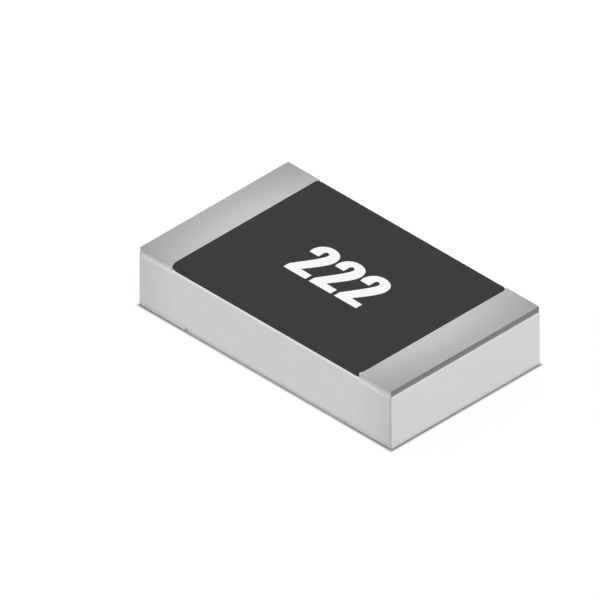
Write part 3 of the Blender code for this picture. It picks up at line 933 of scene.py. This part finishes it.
def terminal_piece(side_name, settings):
    """One terminal's tin plating, with round outer edges, its stepped end and faint unevenness."""
    shape = TerminalShape(side_name)
    inset = SKIN_MARGIN
    ridge_radius, step_radius = 2.5 * UM, 1.0 * UM
    cap_ring, dip_size = 4 * UM, 40 * UM
    # The profile closes inside the ceramic, which the outline leaves out
    below_top, above_foot = 8 * UM, 2 * UM
    ceramic_low, ceramic_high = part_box("ceramic_substrate")
    corners = [
        (shape.bottom_start + inset, shape.bottom + inset, settings.inner_radius),
        (shape.end - inset, shape.bottom + inset, settings.edge_radius),
        (shape.end - inset, shape.ledge, ridge_radius),
        (shape.pad_end - inset, shape.ledge + shape.step, step_radius),
        (shape.pad_end - inset, shape.top - inset, settings.edge_radius),
        (shape.pad_start + inset, shape.top - inset, settings.inner_radius),
        (shape.pad_start + inset, ceramic_high.z - below_top, 0.0),
        (shape.bottom_start + inset, ceramic_low.z + above_foot, 0.0),
    ]
    pieces = run_pieces(corners, settings.mesh_step)
    rings = []
    half = shape.side - inset
    for across, by in stations(half, settings.edge_radius, settings.mesh_step, cap_ring):
        ring = []
        for point, normal in traced(drawn_in(corners, by), pieces):
            depth = dip((shape.sign * point.x, across, point.y), settings.unevenness, dip_size)
            moved = point - normal * depth
            ring.append((shape.sign * moved.x, across, moved.y))
        rings.append(ring)
    return trimmed_to(solid_from_rings("terminal_" + side_name, rings), rim_drawn_up(shape))


def digit_two():
    """Outline of a bold, narrow figure two, one unit high, from its lower left corner.

    Each point is (place, handle before it, handle after it). A missing handle makes a corner.
    """
    foot_width = 0.547
    bowl_middle = 0.735
    right, left = 0.572, -0.005
    counter_left, counter_right, counter_top = 0.224, 0.340, 0.845
    counter_middle = 0.787
    cut = 0.652
    return [
        ((0.0, 0.0), None, None),
        ((foot_width, 0.0), None, None),
        ((foot_width, 0.157), None, None),
        ((0.275, 0.163), None, (0.404, 0.350)),
        ((right, bowl_middle), (right, bowl_middle - 0.150), (right, bowl_middle + 0.165)),
        ((0.278, 1.0), (0.455, 1.0), (0.122, 1.0)),
        ((left, bowl_middle), (left, bowl_middle + 0.150), (left, bowl_middle - 0.040)),
        ((0.006, cut), None, None),
        ((counter_left, cut), None, None),
        ((counter_left, counter_middle), (counter_left, 0.760), (counter_left, 0.825)),
        ((0.275, counter_top), (0.247, counter_top), (0.303, counter_top)),
        ((counter_right, counter_middle), (counter_right, 0.823), (counter_right, 0.667)),
        ((0.003, 0.140), (0.142, 0.372), None),
    ]


def code_piece(settings, coat):
    """The value code: white ink digits standing on the coat."""
    _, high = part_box("protective_coat")
    sunk = 0.4 * UM
    ink_top = high.z - SKIN_MARGIN
    ink_low = high.z - coat.ink_room - sunk
    height = settings.digit_height
    outline = digit_two()
    width = outline[1][0][0] * height
    full_width = (settings.digit_count - 1) * settings.digit_pitch + width
    first = Vector((-full_width / 2 - settings.shift, -height / 2 + settings.shift, 0.0))
    curve = bpy.data.curves.new("value_code", "CURVE")
    curve.dimensions = "2D"
    curve.fill_mode = "BOTH"
    curve.resolution_u = 10
    curve.extrude = (ink_top - ink_low) / 2 - settings.ink_rounding
    curve.bevel_depth = settings.ink_rounding
    curve.bevel_resolution = 2
    curve.offset = -settings.ink_rounding
    for number in range(settings.digit_count):
        start = first + Vector((number * settings.digit_pitch, 0.0, 0.0))
        spline = curve.splines.new("BEZIER")
        spline.bezier_points.add(len(outline) - 1)
        spline.use_cyclic_u = True
        for point, (place, before, after) in zip(spline.bezier_points, outline, strict=True):
            here = start + Vector((*place, 0.0)) * height
            point.co = here
            point.handle_left_type = "FREE" if before else "VECTOR"
            point.handle_right_type = "FREE" if after else "VECTOR"
            if before:
                point.handle_left = start + Vector((*before, 0.0)) * height
            if after:
                point.handle_right = start + Vector((*after, 0.0)) * height
    drawn = new_object("value_code_outline", curve)
    mesh = evaluated_mesh(drawn)
    bpy.data.objects.remove(drawn, do_unlink=True)
    mesh.transform(Matrix.Translation((0.0, 0.0, (ink_top + ink_low) / 2)))
    return new_object("value_code", welded(resized(mesh, LARGER)))


def paint_inner_layers():
    """Give every hidden CAD layer its own fired, sputtered or plated surface."""
    film = layer_material("ruthenium_oxide_print", (0.05, 0.05, 0.06), 0.0, 0.5, 0.006, 0.3 * UM)
    glass = layer_material("green_overglaze", (0.10, 0.16, 0.12), 0.0, 0.15, 0.020, 0.1 * UM)
    layers = {"resistive_film": film, "glass_overcoat": glass}
    prints = layer_material("silver_palladium", (0.55, 0.53, 0.50), 1.0, 0.45, 0.008, 0.4 * UM)
    sputtered = layer_material("sputtered_alloy", (0.42, 0.42, 0.43), 1.0, 0.40, 0.004, 0.1 * UM)
    nickel = layer_material("nickel_barrier_plate", (0.52, 0.50, 0.46), 1.0, 0.35, 0.005, 0.2 * UM)
    for side_name in SIDES:
        for kind in ("top", "cover", "bottom"):
            layers[f"{kind}_electrode_{side_name}"] = prints
        layers["edge_electrode_" + side_name] = sputtered
        layers["nickel_barrier_" + side_name] = nickel
    for node, material in layers.items():
        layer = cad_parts[node]
        for material_slot in layer.material_slots:
            material_slot.material = material


# Stage


def floor_piece(settings):
    """A pale floor, white to the camera and to glosses, that keeps the chip's shadow and adds a
    painted shadow along its outline.

    It is clear from below and to the light for the chip's underside, so that this can be seen.
    """
    mesh = bpy.data.meshes.new("floor")
    with edited(mesh) as shape:
        bmesh.ops.create_grid(shape, x_segments=1, y_segments=1, size=100 * MM)
    floor = new_object("floor", mesh)
    sheet = Sheet(bpy.data.materials.new("pale_floor"))
    x, y, _ = sheet.axes(sheet.place())
    outside = sheet.math("MAXIMUM", abs(x) - CAD_HIGH.x / MM, abs(y) - CAD_HIGH.y / MM)
    # Painted shadow on the floor along the chip's outline
    at_foot = sheet.rise(outside, -0.018, -0.006) * (1.0 - sheet.rise(outside, 0.0, 0.014))
    tone = 1.0 - at_foot * settings.foot_shade
    matte = sheet.node("ShaderNodeBsdfDiffuse", {}, {"Color": sheet.tinted(settings.floor, tone)})
    # The lift is held back near the chip, which paints its shadow wider and darker
    lift = white_rays(sheet) * settings.floor_lift * sheet.rise(outside, 0.006, 0.026)
    glow = sheet.node("ShaderNodeEmission", {}, {"Color": sheet.tinted(WHITE, lift)})
    both = sheet.node("ShaderNodeAddShader", {}, {0: matte, 1: glow})
    clear = sheet.node("ShaderNodeBsdfTransparent", {}, {})
    from_below = sheet.node("ShaderNodeNewGeometry", {}, {}, output="Backfacing")
    is_camera = sheet.node("ShaderNodeLightPath", {}, {}, output="Is Camera Ray")
    under_chip = (1.0 - sheet.rise(outside, -0.001, 0.0)) * (1.0 - is_camera)
    is_clear = sheet.math("MAXIMUM", from_below, under_chip)
    seen = sheet.node("ShaderNodeMixShader", {}, {0: is_clear, 1: both, 2: clear})
    sheet.node("ShaderNodeOutputMaterial", {}, {"Surface": seen})
    mesh.materials.append(sheet.owner)


def light_stage(settings):
    """Even light from all round, and an overhead one with tight shadows and no highlights."""
    world = bpy.data.worlds.new("white_studio")
    bpy.context.scene.world = world
    sheet = Sheet(world)
    strength = settings.sky + white_rays(sheet) * (1.0 - settings.sky)
    sky = sheet.node("ShaderNodeBackground", {}, {"Color": sheet.tinted(WHITE, strength)})
    sheet.node("ShaderNodeOutputWorld", {}, {"Surface": sky})
    world.cycles.sampling_method = "NONE"
    lamp = bpy.data.lights.new("overhead_light", "SUN")
    lamp.energy = settings.overhead * math.pi
    lamp.angle = settings.overhead_angle
    new_object("overhead_light", lamp).visible_glossy = False


def place_camera(settings):
    """A camera without perspective, on the side from which an isometric drawing shows the chip."""
    turn, rise = settings.azimuth, settings.elevation
    back = Vector(
        (math.sin(turn) * math.cos(rise), -math.cos(turn) * math.cos(rise), math.sin(rise))
    )
    rotation = (-back).to_track_quat("-Z", "Y")
    right = rotation @ Vector((1.0, 0.0, 0.0))
    up = rotation @ Vector((0.0, 1.0, 0.0))
    aim = Vector((0.0, 0.0, CAD_HIGH.z)) - right * settings.aim_left - up * settings.aim_down
    lens = bpy.data.cameras.new("camera")
    lens.type = "ORTHO"
    lens.ortho_scale = settings.view_width
    lens.clip_start = 0.1 * MM
    lens.clip_end = 1.0
    camera = new_object("camera", lens)
    camera.rotation_mode = "QUATERNION"
    camera.rotation_quaternion = rotation
    distance = 8 * MM
    camera.location = aim + back * distance
    bpy.context.scene.camera = camera


# Operators


class ResistorOperator:
    """What all operators of the chip resistor share."""

    bl_options = {"REGISTER", "UNDO"}

    @property
    def settings(self):
        return bpy.context.scene.chip_resistor


class CHIPRES_OT_ceramic(ResistorOperator, bpy.types.Operator):
    """Build the ceramic body"""

    bl_idname = "chip_resistor.ceramic"
    bl_label = "Ceramic body"

    def execute(self, context):
        settings = self.settings.ceramic
        piece = ceramic_piece(settings)
        finish_piece(piece, "ceramic_substrate", alumina_material(settings))
        return {"FINISHED"}


class CHIPRES_OT_coat(ResistorOperator, bpy.types.Operator):
    """Build the black protective coat"""

    bl_idname = "chip_resistor.coat"
    bl_label = "Black coat"

    def execute(self, context):
        settings = self.settings.coat
        piece = coat_piece(settings)
        finish_piece(piece, "protective_coat", resin_material(settings))
        return {"FINISHED"}


class CHIPRES_OT_terminals(ResistorOperator, bpy.types.Operator):
    """Build the tin-plated terminals, left and right"""

    bl_idname = "chip_resistor.terminals"
    bl_label = "Terminals"

    def execute(self, context):
        settings = self.settings.terminals
        material = tin_material(settings)
        for side_name in SIDES:
            piece = terminal_piece(side_name, settings)
            finish_piece(piece, "tin_plating_" + side_name, material)
        return {"FINISHED"}


class CHIPRES_OT_code(ResistorOperator, bpy.types.Operator):
    """Print the value code on the coat"""

    bl_idname = "chip_resistor.code"
    bl_label = "Value code"

    def execute(self, context):
        piece = code_piece(self.settings.code, self.settings.coat)
        finish_piece(piece, None, ink_material(self.settings.code))
        return {"FINISHED"}


class CHIPRES_OT_inner_layers(ResistorOperator, bpy.types.Operator):
    """Paint the hidden layers inside"""

    bl_idname = "chip_resistor.inner_layers"
    bl_label = "Inner layers"

    def execute(self, context):
        paint_inner_layers()
        return {"FINISHED"}


class CHIPRES_OT_stage(ResistorOperator, bpy.types.Operator):
    """Set up the floor, the light and the camera"""

    bl_idname = "chip_resistor.stage"
    bl_label = "Stage"

    def execute(self, context):
        settings = self.settings.stage
        floor_piece(settings)
        light_stage(settings)
        place_camera(settings)
        bpy.context.scene.view_settings.view_transform = "Standard"
        return {"FINISHED"}


OPERATORS = (
    CHIPRES_OT_ceramic,
    CHIPRES_OT_coat,
    CHIPRES_OT_terminals,
    CHIPRES_OT_code,
    CHIPRES_OT_inner_layers,
    CHIPRES_OT_stage,
)


class CHIPRES_PT_panel(bpy.types.Panel):
    """Lists the pieces of the chip resistor and their settings"""

    bl_idname = "CHIPRES_PT_panel"
    bl_label = "Chip resistor"
    bl_space_type = "VIEW_3D"
    bl_region_type = "UI"
    bl_category = "Resistor"

    def draw(self, context):
        settings = context.scene.chip_resistor
        for operator in OPERATORS:
            box = self.layout.box()
            box.operator(operator.bl_idname)
            group = getattr(settings, operator.bl_idname.split(".")[1], None)
            for name in group.__annotations__ if group else ():
                box.prop(group, name)


CLASSES = (
    CeramicSettings,
    CoatSettings,
    TerminalSettings,
    CodeSettings,
    StageSettings,
    ResistorSettings,
    *OPERATORS,
    CHIPRES_PT_panel,
)


def register():
    """Register the classes and put the settings on the scene."""
    for item in CLASSES:
        bpy.utils.register_class(item)
    bpy.types.Scene.chip_resistor = PointerProperty(type=ResistorSettings)


def unregister():
    """Take the settings and the classes away again."""
    del bpy.types.Scene.chip_resistor
    for item in reversed(CLASSES):
        bpy.utils.unregister_class(item)


def main():
    """Build the chip resistor and its stage."""
    register()
    bpy.ops.chip_resistor.ceramic()
    bpy.ops.chip_resistor.coat()
    bpy.ops.chip_resistor.terminals()
    bpy.ops.chip_resistor.code()
    bpy.ops.chip_resistor.inner_layers()
    bpy.ops.chip_resistor.stage()


if __name__ == "__main__":
    main()
